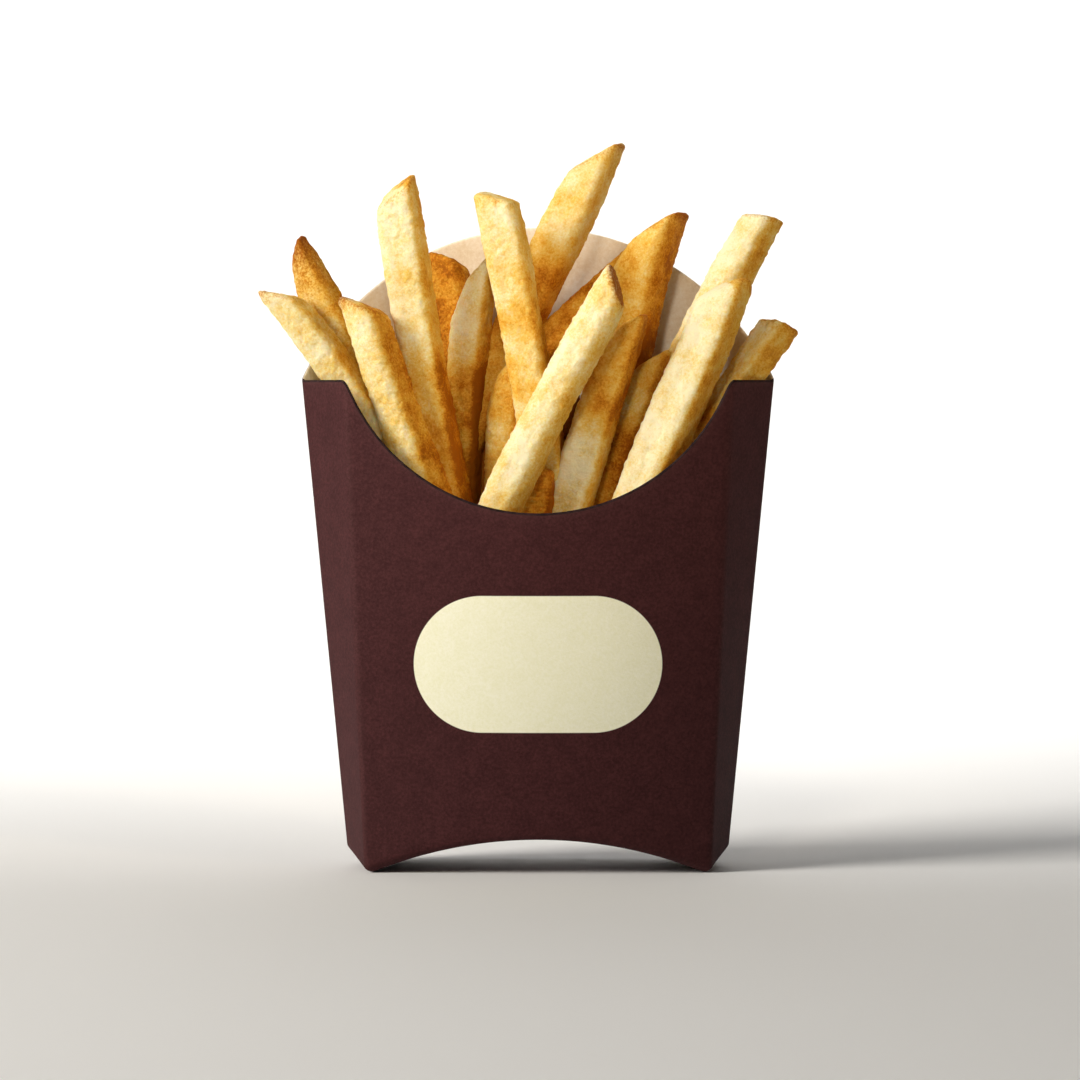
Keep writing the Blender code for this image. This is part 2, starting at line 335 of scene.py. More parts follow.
def makeCarton():
    # an outer and an inner shell, a rim between their top edges, and a bottom for each
    printed, bare, edgeShadeSlot = 0, 1, 2   # the materials' slots; the third is painted shade along the scoop's pressed edge
    frontRuns, run = sectionRuns()
    columns, frontCount = len(run), len(frontRuns)
    outside = cartonShell(0.0, run)
    inside = cartonShell(cartonSpec["board"], run)
    rows = outside.shape[0]
    foldWidth, foldStrength = cartonSpec["foldWear"]
    edgeWidth, edgeStrength = cartonSpec["edgeWear"]
    fromFold = np.abs(np.mod(run, halfRun)[:, None] - foldRuns[None, :]).min(axis=1)
    worn = np.exp(-(outside[-1, :, 2] - outside[..., 2]) / edgeWidth) * edgeStrength
    worn = np.maximum(worn, foldStrength * np.exp(-(fromFold / foldWidth) ** 2)[None, :])
    onFront = np.arange(columns)[None, :] < frontCount - 1
    row = np.arange(rows - 1)[:, None]
    parts, quads, slots, wear = [], [], [], []

    def add(points, faces, slot, layer):
        quads.append(faces + sum(len(part) for part in parts))
        parts.append(points.reshape(-1, 3))
        slots.append(np.broadcast_to(slot, len(faces)))
        wear.append(np.broadcast_to(layer, points.shape[:2]).ravel())

    # painted shade: the front's top rows, inside and out, and the rim between them take the near-black
    # material as the shadow line along the scoop's edge
    outerEdgeShade, innerEdgeShade = (row >= rows - 1 - count for count in cartonSpec["edgeShadeRows"])
    slot = np.where(onFront & outerEdgeShade, edgeShadeSlot, printed)
    add(outside, gridFaces(rows, columns, True), slot.ravel(), worn)
    slot = np.where(onFront & innerEdgeShade, edgeShadeSlot, bare)
    add(inside, gridFaces(rows, columns, True, flip=True), slot.ravel(), 0.0)
    slot = np.where(onFront, edgeShadeSlot, bare)
    add(np.stack([outside[-1], inside[-1]]), gridFaces(2, columns, True), slot.ravel(), 0.0)
    for shell, slot, down in ((outside, printed, True), (inside, bare, False)):
        grid = bottomGrid(shell, frontCount)
        add(grid, gridFaces(grid.shape[0], frontCount, False, flip=down), slot, 0.0)
    mesh = meshFromArrays("foldedCarton", np.concatenate(parts), np.concatenate(quads),
                          slots=np.concatenate(slots))
    addLayer(mesh, "worn", np.concatenate(wear))
    return mesh


# The fries

frySpec = {
    "footZ": 62.0, "crossingFootZ": 88.0,
    "around": 72, "bodyRows": 140, "capRows": 6,
    "fillerAround": 32, "fillerRows": 70,
    "rowSpread": (0.78, 0.22, 5),  # rows down the length: even share, growing share and its power
    "capRings": (0.35, 0.7),       # rings across the cut end, as shares of its flat part
    "poleScale": 0.04,             # the smallest ring, round the cut end's middle
    "corner": 3.5,                 # how square the section is
    "cornerSpread": 1.0,           # and how much that differs from fry to fry
    "cornerCut": 0.34,             # how much round corners take off the width seen cornerwise
    "sink": 0.02,                  # how far the faces sink between the crisp edges
    "wobble": (0.035, 8.0),        # how much the thickness swells, and over what length
    "pinchDeep": 0.7,              # how much of the end's narrowing there is from front to back
    "deepSlope": 0.25,             # the most that the cut end slopes from front to back
    "slopeFade": (2.4, 5.0),       # the slope fades over this many times its depth, plus this length
    "bluntSoft": 0.6,              # how softly the end's longest corner is blunted
    "hookRun": 17.0,               # length over which a hooked end bends aside
    "lowShadeRun": 12.0,                # length over which a fry turns to its lower tone, painted shade from the fries around it
    # a fry's number times these gives it phases of its own
    "phases": {"corner": 2.4, "wobble": 2.1, "deepSlope": 1.7, "noise": 7.31},
    # pitch and height of the crust's unevenness; blisters are rounded bumps with creases between
    "coarse": (13.0, 0.24), "middle": (3.4, 0.09), "grain": (0.75, 0.12), "blister": (1.2, 0.16),
    "creaseDepth": 0.6, "blisterShift": 3.7,
    # browning on the rim: where it lies and how wide it is, how strong, and up to which rounding in full
    "rimBand": (0.5, 0.6, 0.4), "rimBrown": 0.62, "tightRound": 1.3,
    "brownLift": 0.6,              # full brown ends this share of the slope above the end's middle
    "peelEdge": (0.5, 0.95),       # peel starts and is full this far out towards its side
    "shadeSideEase": (-0.1, 0.65),      # the same for the painted shade, a deeper tone on faces that look right, away from the light
}

# Fries that show, from the left. at is the cut end's middle and foot how far back the foot stands;
# lean, turn about the length and slope of the cut end are in degrees; width is as seen from the front.
# narrow: how much the end narrows, over what length, and which edge stays straight (-1 left, 1 right).
# brown: how brown the end is, and how far down. skin: a browned strip of peel, its side and length.
# cap: how brown the cut face is. tone: 0 pale to 1 deep golden, with side added on the right-hand
# faces as painted shade, and low added past a distance from the end as painted shade where other fries
# shade it. bow and hook bend the middle and the end to the right. round is the radius at the end's rim,
# blunt how much of its longest corner is missing.
plainFry = {"foot": 0.0, "narrow": (0.06, 12.0, 0.0), "brown": (0.4, 4.0), "skin": (1.0, 0.0, 8.0),
            "cap": 0.15, "tone": 0.4, "side": 0.25, "low": (0.0, 30.0), "bow": 0.0, "hook": 0.0,
            "round": 1.1, "blunt": 0.12}

visibleFries = [{**plainFry, **fry} for fry in (
    {"at": (-53.6, -1.5, 120.7), "foot": 0.0, "lean": -34, "width": 8.4, "turn": 22, "slope": -45,
     "narrow": (0.10, 16.0, -1.0), "brown": (0.6, 2.6), "tone": 0.20, "side": 0.32, "bow": 0.8,
     "hook": -0.3},
    {"at": (-51.5, 5.0, 129.2), "foot": 4.0, "lean": -30, "width": 9.1, "turn": 28, "slope": 43,
     "narrow": (0.44, 13.0, 0.35), "brown": (0.95, 12.0), "skin": (-1.0, 0.85, 15.0), "tone": 0.50,
     "side": 0.2, "hook": 0.5},
    {"at": (-36.5, -9.0, 118.2), "foot": -9.0, "lean": -20, "width": 10.3, "turn": 35, "slope": -40,
     "narrow": (0.04, 14.0, -0.3), "brown": (0.80, 2.6), "skin": (1.0, 0.3, 9.0), "tone": 0.26,
     "side": 0.54, "bow": -0.7},
    {"at": (-29.8, -5.0, 142.3), "foot": -2.0, "lean": -10, "width": 9.9, "turn": 13, "slope": 33,
     "narrow": (0.06, 14.0, 0.6), "brown": (0.55, 2.0), "skin": (1.0, 0.35, 9.0), "tone": 0.20,
     "side": 0.40, "low": (0.40, 30.0), "bow": -0.6},
    # its deep tone is partly painted shade: this fry stands back in the others' shadow
    {"at": (-19.2, 13.5, 128.3), "foot": 11.0, "lean": -6, "width": 9.2, "turn": 20, "slope": -30,
     "narrow": (0.08, 10.0, -0.2), "brown": (0.6, 3.0), "tone": 0.86, "side": 0.05, "bow": 0.4},
    {"at": (-13.0, 7.0, 126.6), "foot": 8.0, "lean": 3, "width": 9.5, "turn": 22, "slope": 49,
     "narrow": (0.30, 15.0, 0.6), "brown": (0.4, 5.0), "tone": 0.16, "side": 0.48, "low": (0.60, 14.0),
     "bow": -0.9, "hook": 0.9},
    {"at": (-8.8, -4.0, 141.1), "foot": -3.0, "lean": -10, "width": 9.4, "turn": 13, "slope": -24,
     "narrow": (0.03, 12.0, -0.6), "brown": (0.4, 1.6), "tone": 0.26, "side": 0.22, "low": (0.18, 16.0),
     "bow": 0.6, "round": 1.3, "blunt": 0.04},
    {"at": (-5.3, 1.0, 106.8), "foot": 2.0, "lean": 2, "width": 9.0, "turn": 15, "slope": 42,
     "narrow": (0.30, 12.0, 0.4), "brown": (0.2, 6.0), "tone": 0.50, "side": 0.3, "bow": -1.2,
     "round": 2.0},
    # its deep tone is partly painted shade: this fry sits low between others, in their shadow
    {"at": (0.2, -6.0, 84.0), "foot": -6.0, "lean": 5, "width": 9.0, "turn": 10, "slope": 8,
     "brown": (0.5, 5.0), "tone": 0.78, "round": 1.8},
    {"at": (12.6, 13.0, 149.9), "foot": 8.0, "lean": 24.5, "width": 10.8, "turn": 20, "slope": 53,
     "narrow": (0.16, 20.0, 0.42), "brown": (0.75, 2.4), "skin": (1.0, 0.4, 10.0), "tone": 0.30,
     "side": 0.16, "low": (0.42, 18.0), "bow": -0.5, "hook": -0.4, "round": 1.5, "blunt": 0.10},
    {"at": (16.3, -14.0, 122.3), "foot": -11.0, "lean": 27, "width": 9.9, "turn": 16, "slope": -45,
     "narrow": (0.20, 20.0, 0.1), "brown": (0.6, 1.6), "skin": (1.0, 0.75, 8.0), "cap": 0.9, "tone": 0.16,
     "side": 0.34, "bow": -0.9, "round": 1.0, "blunt": 0.04},
    {"at": (18.9, -5.0, 114.2), "foot": -5.0, "lean": 17, "width": 9.6, "turn": 14, "slope": 45,
     "narrow": (0.38, 11.0, 0.35), "brown": (0.55, 4.0), "skin": (1.0, 0.5, 14.0), "tone": 0.62,
     "side": 0.30, "low": (-0.48, 17.0), "bow": -0.7, "round": 1.8, "blunt": 0.5},
    {"at": (23.6, 11.5, 135.7), "foot": 8.0, "lean": 12, "width": 13.0, "turn": 27, "slope": 39,
     "narrow": (0.10, 12.0, 0.8), "brown": (0.85, 3.8), "skin": (1.0, 0.4, 12.0), "tone": 0.54,
     "side": 0.24, "low": (0.32, 16.0), "bow": 0.6, "hook": 2.2, "blunt": 0.06},
    {"at": (24.6, 2.0, 107.2), "foot": 1.0, "lean": 19, "width": 9.0, "turn": 25, "slope": 45,
     "narrow": (0.3, 9.0, 0.2), "brown": (0.3, 5.0), "tone": 0.46, "side": 0.2, "low": (0.36, 9.0),
     "bow": -0.3, "round": 2.2, "blunt": 0.3},
    {"at": (40.6, -9.0, 122.0), "foot": -8.0, "lean": 23.5, "width": 11.0, "turn": 22, "slope": 44,
     "narrow": (0.08, 10.0, 0.3), "brown": (0.65, 2.6), "skin": (1.0, 0.25, 8.0), "tone": 0.09,
     "side": 0.50, "bow": -0.6, "hook": -1.5, "round": 3.4, "blunt": 0.16},
    {"at": (47.2, 4.0, 137.3), "foot": 3.0, "lean": 28, "width": 10.0, "turn": 38, "slope": 19,
     "narrow": (0.03, 12.0, 0.2), "brown": (0.65, 1.4), "skin": (1.0, 0.35, 14.0), "tone": 0.12,
     "side": 0.46, "low": (0.5, 27.0), "bow": 0.5, "hook": 0.5, "round": 0.8},
    {"at": (50.9, -1.5, 114.4), "foot": 0.0, "lean": 36, "width": 8.4, "turn": 54, "slope": 19,
     "narrow": (0.03, 12.0, 0.5), "brown": (0.6, 2.0), "skin": (1.0, 0.3, 8.0), "tone": 0.32,
     "side": 0.34, "low": (0.4, 14.0), "bow": 0.3, "round": 0.8},
)]

# one more lies across behind the others, with its foot higher up
# its deep tone is partly painted shade, for this fry lying behind in the others' shadow
crossingFry = {**plainFry, "at": (23.4, 14.0, 129.6), "foot": 11.0, "lean": 47, "width": 9.0, "turn": 28,
               "slope": 20, "narrow": (0.1, 10.0, 0.4), "brown": (0.4, 8.0), "tone": 0.86, "side": 0.1}

fillerSpec = {
    "count": 22, "firstNumber": 20, "reachX": 33.0, "width": (8.4, 9.8), "round": 1.5,
    # each row: how far back it stands at the sides and in the middle, and the heights of its ends
    "rows": ((11.5, 12.5, (98.0, 103.0)), (2.5, 3.0, (71.0, 79.0)), (-7.5, -12.0, (66.0, 70.5))),
    "lean": 0.55, "footDepth": 0.8, "turn": (10.0, 40.0), "slope": (-35.0, 35.0),
    "goldenStep": 0.618034,     # spreads the sizes and turns evenly, with no draws
    # painted shade: the fillers are toasted deep brown all over, so the gaps between the fries read dark
    "tone": (1.0, 1.2), "brown": (0.9, 1.1), "brownRun": 90.0,
}

coreSpec = {
    "topZ": 64.5, "gap": 2.4,      # gap is the room left inside the card
    "lumpPitch": 6.0, "lumpHeight": 1.2, "lumpPower": 6,   # lumps die out at the wall by this power
    "around": 180, "rowsUp": 12, "lidRows": 24, "bottomRows": 16, "poleScale": 0.02,
    # painted shade: the packed feet take the same deep toasted colour, dark in the gaps
    "brown": 0.6, "tone": 1.0,
}


def between(limits, share):
    # the value that lies a share of the way from the first limit to the second
    return limits[0] + (limits[1] - limits[0]) * share


def fillerFries():
    # shorter fries in three rows, leaning outwards more the further they stand from the middle
    spec, fries = fillerSpec, []
    for i in range(spec["count"]):
        place = (2.0 * i + 1.0) / spec["count"] - 1.0
        x = spec["reachX"] * place
        atSides, inMiddle, tipZ = spec["rows"][i % len(spec["rows"])]
        y = between((inMiddle, atSides), place ** 2)
        mix = i * spec["goldenStep"] % 1.0
        other = i * spec["goldenStep"] * 2.0 % 1.0
        fries.append({
            **plainFry, "at": (x, y, between(tipZ, mix)),
            "foot": y * spec["footDepth"], "lean": x * spec["lean"],
            "width": between(spec["width"], other), "turn": between(spec["turn"], mix),
            "slope": between(spec["slope"], other), "tone": between(spec["tone"], mix),
            "brown": (between(spec["brown"], other), spec["brownRun"]), "round": spec["round"],
        })
    return fries


def fryArrays(fry, number, around, bodyRows, footZ):
    # A rounded square carried from the cut end down to the foot. The first rows open from the end's
    # middle to its round rim, the rest run down the length. The end's slope shears the rows near it
    # and its longest corner is blunted, the end narrows towards its straight edge, and noise along
    # the outward direction gives the uneven crust.
    spec = frySpec
    phase = {key: number * step for key, step in spec["phases"].items()}
    tip = np.array(fry["at"])
    drop = fry["at"][2] - footZ
    foot = np.array([tip[0] - drop * math.tan(math.radians(fry["lean"])), fry["foot"], footZ])
    length = np.linalg.norm(foot - tip)
    down = (foot - tip) / length
    across = -np.cross([0.0, 1.0, 0.0], down)
    across /= np.linalg.norm(across)
    deep = np.cross(down, across)
    turn = math.radians(fry["turn"])
    cosT, sinT = math.cos(turn), math.sin(turn)
    half = fry["width"] / (cosT + sinT - spec["cornerCut"] * min(cosT, sinT)) / 2.0
    halfWidth = fry["width"] / 2.0

    angle = np.linspace(0.0, 2.0 * math.pi, around, endpoint=False)[None, :]
    cosA, sinA = np.cos(angle), np.sin(angle)
    corner = spec["corner"] + spec["cornerSpread"] * math.sin(phase["corner"])
    radius = (np.abs(cosA) ** corner + np.abs(sinA) ** corner) ** (-1.0 / corner)
    radius = radius * (1.0 - spec["sink"] * np.clip(np.cos(4.0 * angle), 0.0, 1.0))

    rimAngle = np.linspace(0.0, math.pi / 2.0, spec["capRows"])
    flat = 1.0 - fry["round"] / half
    rings = [spec["poleScale"]] + [flat * ring for ring in spec["capRings"]]
    capScale = np.concatenate([rings, flat + (1.0 - flat) * np.sin(rimAngle)])
    capDown = np.concatenate([np.zeros(len(rings)), fry["round"] * (1.0 - np.cos(rimAngle))])
    even, growing, power = spec["rowSpread"]
    rowShare = np.linspace(0.0, 1.0, bodyRows)[1:]
    bodyDown = fry["round"] + (length - fry["round"]) * (even * rowShare + growing * rowShare ** power)
    scale = np.concatenate([capScale, np.ones(bodyRows - 1)])[:, None]
    dist = np.concatenate([capDown, bodyDown])[:, None]

    a = half * radius * cosA * scale
    b = half * radius * sinA * scale
    narrow, reach, straight = fry["narrow"]
    pinch = narrow * np.clip(1.0 - dist / reach, 0.0, 1.0) ** 2
    swell, swellRun = spec["wobble"]
    wobble = 1.0 + swell * np.sin(dist / swellRun + phase["wobble"])
    p = (a * cosT - b * sinT) * (1.0 - pinch) * wobble + straight * halfWidth * pinch
    q = (a * sinT + b * cosT) * (1.0 - spec["pinchDeep"] * pinch)
    slope = math.tan(math.radians(fry["slope"]))
    longest = abs(slope) * halfWidth
    deepSlope = spec["deepSlope"] * math.sin(phase["deepSlope"])
    fadeTimes, fadeLeast = spec["slopeFade"]
    fade = np.clip(1.0 - dist / (fadeTimes * longest + fadeLeast), 0.0, 1.0) ** 2
    distance = dist - (slope * p + deepSlope * q + longest * fry["blunt"] / 2.0) * fade
    soft = spec["bluntSoft"]
    distance = soft * np.logaddexp(distance / soft, -longest * (1.0 - fry["blunt"] / 2.0) / soft)
    # the bow is a parabola that is full at half the length
    lengthShare = np.clip(distance / length, 0.0, 1.0)
    hook = fry["hook"] * np.clip(1.0 - dist / spec["hookRun"], 0.0, 1.0) ** 2
    bend = fry["bow"] * 4.0 * lengthShare * (1.0 - lengthShare) + hook
    points = (tip + down * distance[..., None] + across * (p + bend)[..., None]
              + deep * q[..., None])

    outwardP = p / np.hypot(p, q).clip(0.01)
    outwardQ = q / np.hypot(p, q).clip(0.01)
    wall = easeStep(0.75, 1.0, scale)   # 0 on the cut end, 1 on the long faces
    flatOutward = across * outwardP[..., None] + deep * outwardQ[..., None]
    outward = flatOutward * wall[..., None] - down * (1.0 - wall[..., None])
    relief = sum(height * lumps(points, pitch, phase["noise"]) for pitch, height in
                 (spec["coarse"], spec["middle"], spec["grain"]))
    pitch, height = spec["blister"]
    blisters = 2.0 * np.abs(lumps(points, pitch, phase["noise"] + spec["blisterShift"]))
    relief = relief + height * (blisters - spec["creaseDepth"])
    points = points + outward * relief[..., None]

    rimMiddle, rimWidth, rimLeast = spec["rimBand"]
    rim = np.exp(-((dist - fry["round"] * rimMiddle) / (rimWidth * fry["round"] + rimLeast)) ** 2)
    rim = rim * easeStep(0.6, 0.95, scale)
    amount, run = fry["brown"]
    side, peel, peelRun = fry["skin"]
    brown = amount * np.exp(-np.clip(distance + longest * spec["brownLift"], 0.0, None) / run)
    onRim = spec["rimBrown"] * amount ** 0.5 * min(1.0, spec["tightRound"] / fry["round"])
    brown = np.maximum(brown, onRim * rim)
    onSide = easeStep(*spec["peelEdge"], side * p / halfWidth)
    brown = np.maximum(brown, peel * onSide * np.exp(-(np.clip(distance, 0.0, None) / peelRun) ** 2))
    brown = np.maximum(brown, fry["cap"] * (1.0 - easeStep(0.85, 1.0, scale)))
    normalA = np.sign(cosA) * np.abs(cosA) ** (corner - 1.0)
    normalB = np.sign(sinA) * np.abs(sinA) ** (corner - 1.0)
    rightward = (normalA * cosT - normalB * sinT) / np.hypot(normalA, normalB)
    # painted shade: past a distance from the end the tone turns deeper where fries in the heap shade one
    # another, or paler where a fry's upper part lies in another's shadow
    lowShadeTone, lowShadeStart = fry["low"]
    # painted shade: faces that look right, away from the light on the left, get a deeper golden tone
    tone = fry["tone"] + fry["side"] * easeStep(*spec["shadeSideEase"], rightward)
    tone = tone + lowShadeTone * easeStep(lowShadeStart, lowShadeStart + spec["lowShadeRun"], dist)

    rows = points.shape[0]
    poles = [points[0].mean(axis=0), points[-1].mean(axis=0)]
    allPoints = np.concatenate([points.reshape(-1, 3), poles])
    looks = [np.append(layer.ravel(), [layer[0].mean(), layer[-1].mean()]) for layer in (brown, tone)]
    return allPoints, gridFaces(rows, around, True), poleFaces(rows, around), looks


def makeFries(name, fries, around, bodyRows):
    # fries as (number, fry, foot height), all in one mesh
    points, quads, triangles, looks, start = [], [], [], [[], []], 0
    for number, fry, footZ in fries:
        fryPoints, fryQuads, fryTriangles, layers = fryArrays(fry, number, around, bodyRows, footZ)
        points.append(fryPoints)
        quads.append(fryQuads + start)
        triangles.append(fryTriangles + start)
        for kept, layer in zip(looks, layers):
            kept.append(layer)
        start += len(fryPoints)
    mesh = meshFromArrays(name, np.concatenate(points), np.concatenate(quads), np.concatenate(triangles))
    for label, layer in zip(("brown", "tone"), looks):
        addLayer(mesh, label, np.concatenate(layer))
    return mesh


def makeCore():
    # packed fries' feet, hidden below the rim: the carton's section, inset, up to a lumpy top
    spec = coreSpec
    run = np.linspace(0.0, 2.0 * halfRun, spec["around"], endpoint=False)
    low = footHeight(run) + spec["gap"]
    share = np.linspace(0.0, 1.0, spec["rowsUp"])[:, None]
    z = low * (1.0 - share) + spec["topZ"] * share
    wall = wallPoints(np.broadcast_to(run, z.shape), z, spec["gap"])
    lid = np.linspace(1.0, spec["poleScale"], spec["lidRows"])[1:, None, None]
    center = np.array([0.0, 0.0, spec["topZ"]])
    top = center + (wall[-1] - center) * lid
    lumpy = spec["lumpHeight"] * lumps(top, spec["lumpPitch"])
    top[..., 2] += lumpy * (1.0 - lid[..., 0] ** spec["lumpPower"])
    inner = np.linspace(spec["poleScale"], 1.0, spec["bottomRows"])[:-1, None, None]
    bottom = wall[0] * inner
    arch = cartonSpec["archRise"] * (1.0 - (bottom[..., 0] / cartonSpec["creaseFoot"]) ** 2)
    bottom[..., 2] = arch.clip(0.0) + spec["gap"]
    points = np.concatenate([bottom, wall, top])
    rows, columns = points.shape[:2]
    poles = [points[0].mean(axis=0), points[-1].mean(axis=0)]
    mesh = meshFromArrays("packedFries", np.concatenate([points.reshape(-1, 3), poles]),
                          gridFaces(rows, columns, True), poleFaces(rows, columns))
    for label in ("brown", "tone"):
        addLayer(mesh, label, np.full(rows * columns + 2, spec[label]))
    return mesh


# Materials

noise, mathNode, ramp = "ShaderNodeTexNoise", "ShaderNodeMath", "ShaderNodeValToRGB"
multiply, sumUp = {"operation": "MULTIPLY"}, {"operation": "MULTIPLY_ADD"}
subtract = {"operation": "SUBTRACT"}

# sumUp is the first times the second plus the third. A noise's scale is one over its lumps' width, and
# it averages about a half, so the offset brings mottle back to a half, and golden to the fry's tone.


def printedCard():
    # folding boxboard printed matt dark maroon: uncoated fibres show as a faint mottle and a fine
    # tooth, folds and edges are rubbed a little paler, and the pill on the front is bare cream
    material, tree, shader = newMaterial("printed_folding_boxboard")
    coords = addNode(tree, "ShaderNodeTexCoord", out="Object")
    worn = addNode(tree, "ShaderNodeAttribute", {"attribute_name": "worn"}, out="Fac")
    # real fibres are finer than the render can show, so they are drawn 0.6 and 0.35 mm wide
    cloud = addNode(tree, noise, links={"Vector": coords, "Scale": 1.0 / (4.0 * mm), "Detail": 4.0,
                                        "Roughness": 0.6})
    fibre = addNode(tree, noise, links={"Vector": coords, "Scale": 1.0 / (0.6 * mm), "Detail": 3.0,
                                        "Roughness": 0.7})
    tooth = addNode(tree, noise, links={"Vector": coords, "Scale": 1.0 / (0.35 * mm), "Detail": 3.0,
                                        "Roughness": 0.7})
    mottle = addNode(tree, mathNode, sumUp, {0: cloud, 1: 0.3, 2: -0.05})
    mottle = addNode(tree, mathNode, sumUp, {0: fibre, 1: 0.8, 2: mottle})
    maroon = addNode(tree, ramp, links={"Fac": mottle}, stops=[(0.34, "#361819"), (0.50, "#401F20"),
                                                              (0.66, "#4B2627")])
    rubbed = addNode(tree, mathNode, multiply, {0: fibre, 1: 0.3})
    rubbed = addNode(tree, mathNode, {**multiply, "use_clamp": True}, {0: rubbed, 1: worn})
    maroon = addNode(tree, "ShaderNodeMix", {"data_type": "RGBA"},
                     {0: rubbed, 6: maroon, 7: hexColor("#7A5450")}, out=2)
    cream = addNode(tree, ramp, links={"Fac": mottle}, stops=[(0.34, "#F4F2D0"), (0.66, "#FCFAE2")])

    # the pill: inside where the distance from its straight middle line is under half its height
    halfHeight = pillSpec["height"] / 2.0 * mm
    straight = pillSpec["width"] / 2.0 * mm - halfHeight
    placeX = addNode(tree, "ShaderNodeSeparateXYZ", links={0: coords})
    placeY, placeZ = placeX.node.outputs[1], placeX.node.outputs[2]
    sideways = addNode(tree, mathNode, subtract, {0: placeX, 1: middle[0] * mm})
    sideways = addNode(tree, mathNode, {"operation": "ABSOLUTE"}, {0: sideways})
    beyond = addNode(tree, mathNode, subtract, {0: sideways, 1: straight})
    beyond = addNode(tree, mathNode, {"operation": "MAXIMUM"}, {0: beyond, 1: 0.0})
    upward = addNode(tree, mathNode, subtract, {0: placeZ, 1: pillSpec["middleZ"] * mm})
    squares = addNode(tree, mathNode, multiply, {0: upward, 1: upward})
    squares = addNode(tree, mathNode, sumUp, {0: beyond, 1: beyond, 2: squares})
    distance = addNode(tree, mathNode, {"operation": "SQRT"}, {0: squares})
    inside = addNode(tree, mathNode, subtract, {0: halfHeight, 1: distance})
    inside = addNode(tree, mathNode, {"operation": "DIVIDE", "use_clamp": True},
                     {0: inside, 1: pillSpec["edge"] * mm})
    onFront = addNode(tree, mathNode, {"operation": "LESS_THAN"}, {0: placeY, 1: middle[1] * mm})
    inside = addNode(tree, mathNode, multiply, {0: inside, 1: onFront})
    color = addNode(tree, "ShaderNodeMix", {"data_type": "RGBA"}, {0: inside, 6: maroon, 7: cream}, out=2)

    height = addNode(tree, mathNode, sumUp, {0: tooth, 1: 0.5, 2: fibre})
    bump = addNode(tree, "ShaderNodeBump", links={"Strength": 0.4, "Distance": 0.1 * mm, "Height": height})
    tree.links.new(color, shader.inputs["Base Color"])
    tree.links.new(bump, shader.inputs["Normal"])
    shader.inputs["Roughness"].default_value = 0.66
    shader.inputs["Specular IOR Level"].default_value = 0.12
    return material


def bareBoard():
    # the unprinted inner side of the board: warm off-white pulp with pale and tan fibres
    material, tree, shader = newMaterial("bare_boxboard_inside")
    coords = addNode(tree, "ShaderNodeTexCoord", out="Object")
    cloud = addNode(tree, noise, links={"Vector": coords, "Scale": 1.0 / (12.0 * mm), "Detail": 4.0,
                                        "Roughness": 0.55})
    fibre = addNode(tree, noise, links={"Vector": coords, "Scale": 1.0 / (0.8 * mm), "Detail": 3.0,
                                        "Roughness": 0.7})
    mottle = addNode(tree, mathNode, sumUp, {0: cloud, 1: 0.6, 2: -0.05})
    mottle = addNode(tree, mathNode, sumUp, {0: fibre, 1: 0.5, 2: mottle})
    color = addNode(tree, ramp, links={"Fac": mottle}, stops=[(0.34, "#E2CFB2"), (0.50, "#EEE0CA"),
                                                             (0.66, "#F7EFE2")])
    bump = addNode(tree, "ShaderNodeBump", links={"Strength": 0.3, "Distance": 0.1 * mm, "Height": fibre})
    tree.links.new(color, shader.inputs["Base Color"])
    tree.links.new(bump, shader.inputs["Normal"])
    shader.inputs["Roughness"].default_value = 0.8
    shader.inputs["Specular IOR Level"].default_value = 0.3
    return material


def paintedEdgeShade():
    # painted shade: the die-cut and pressed edge of the board drawn near black, as the shadow line along it
    material, tree, shader = newMaterial("painted_edge_shade")
    coords = addNode(tree, "ShaderNodeTexCoord", out="Object")
    fibre = addNode(tree, noise, links={"Vector": coords, "Scale": 1.0 / (1.5 * mm), "Detail": 3.0,
                                        "Roughness": 0.6})
    color = addNode(tree, ramp, links={"Fac": fibre}, stops=[(0.38, "#1D0F0F"), (0.62, "#332020")])
    tree.links.new(color, shader.inputs["Base Color"])
    shader.inputs["Roughness"].default_value = 0.85
    shader.inputs["Specular IOR Level"].default_value = 0.2
    return material


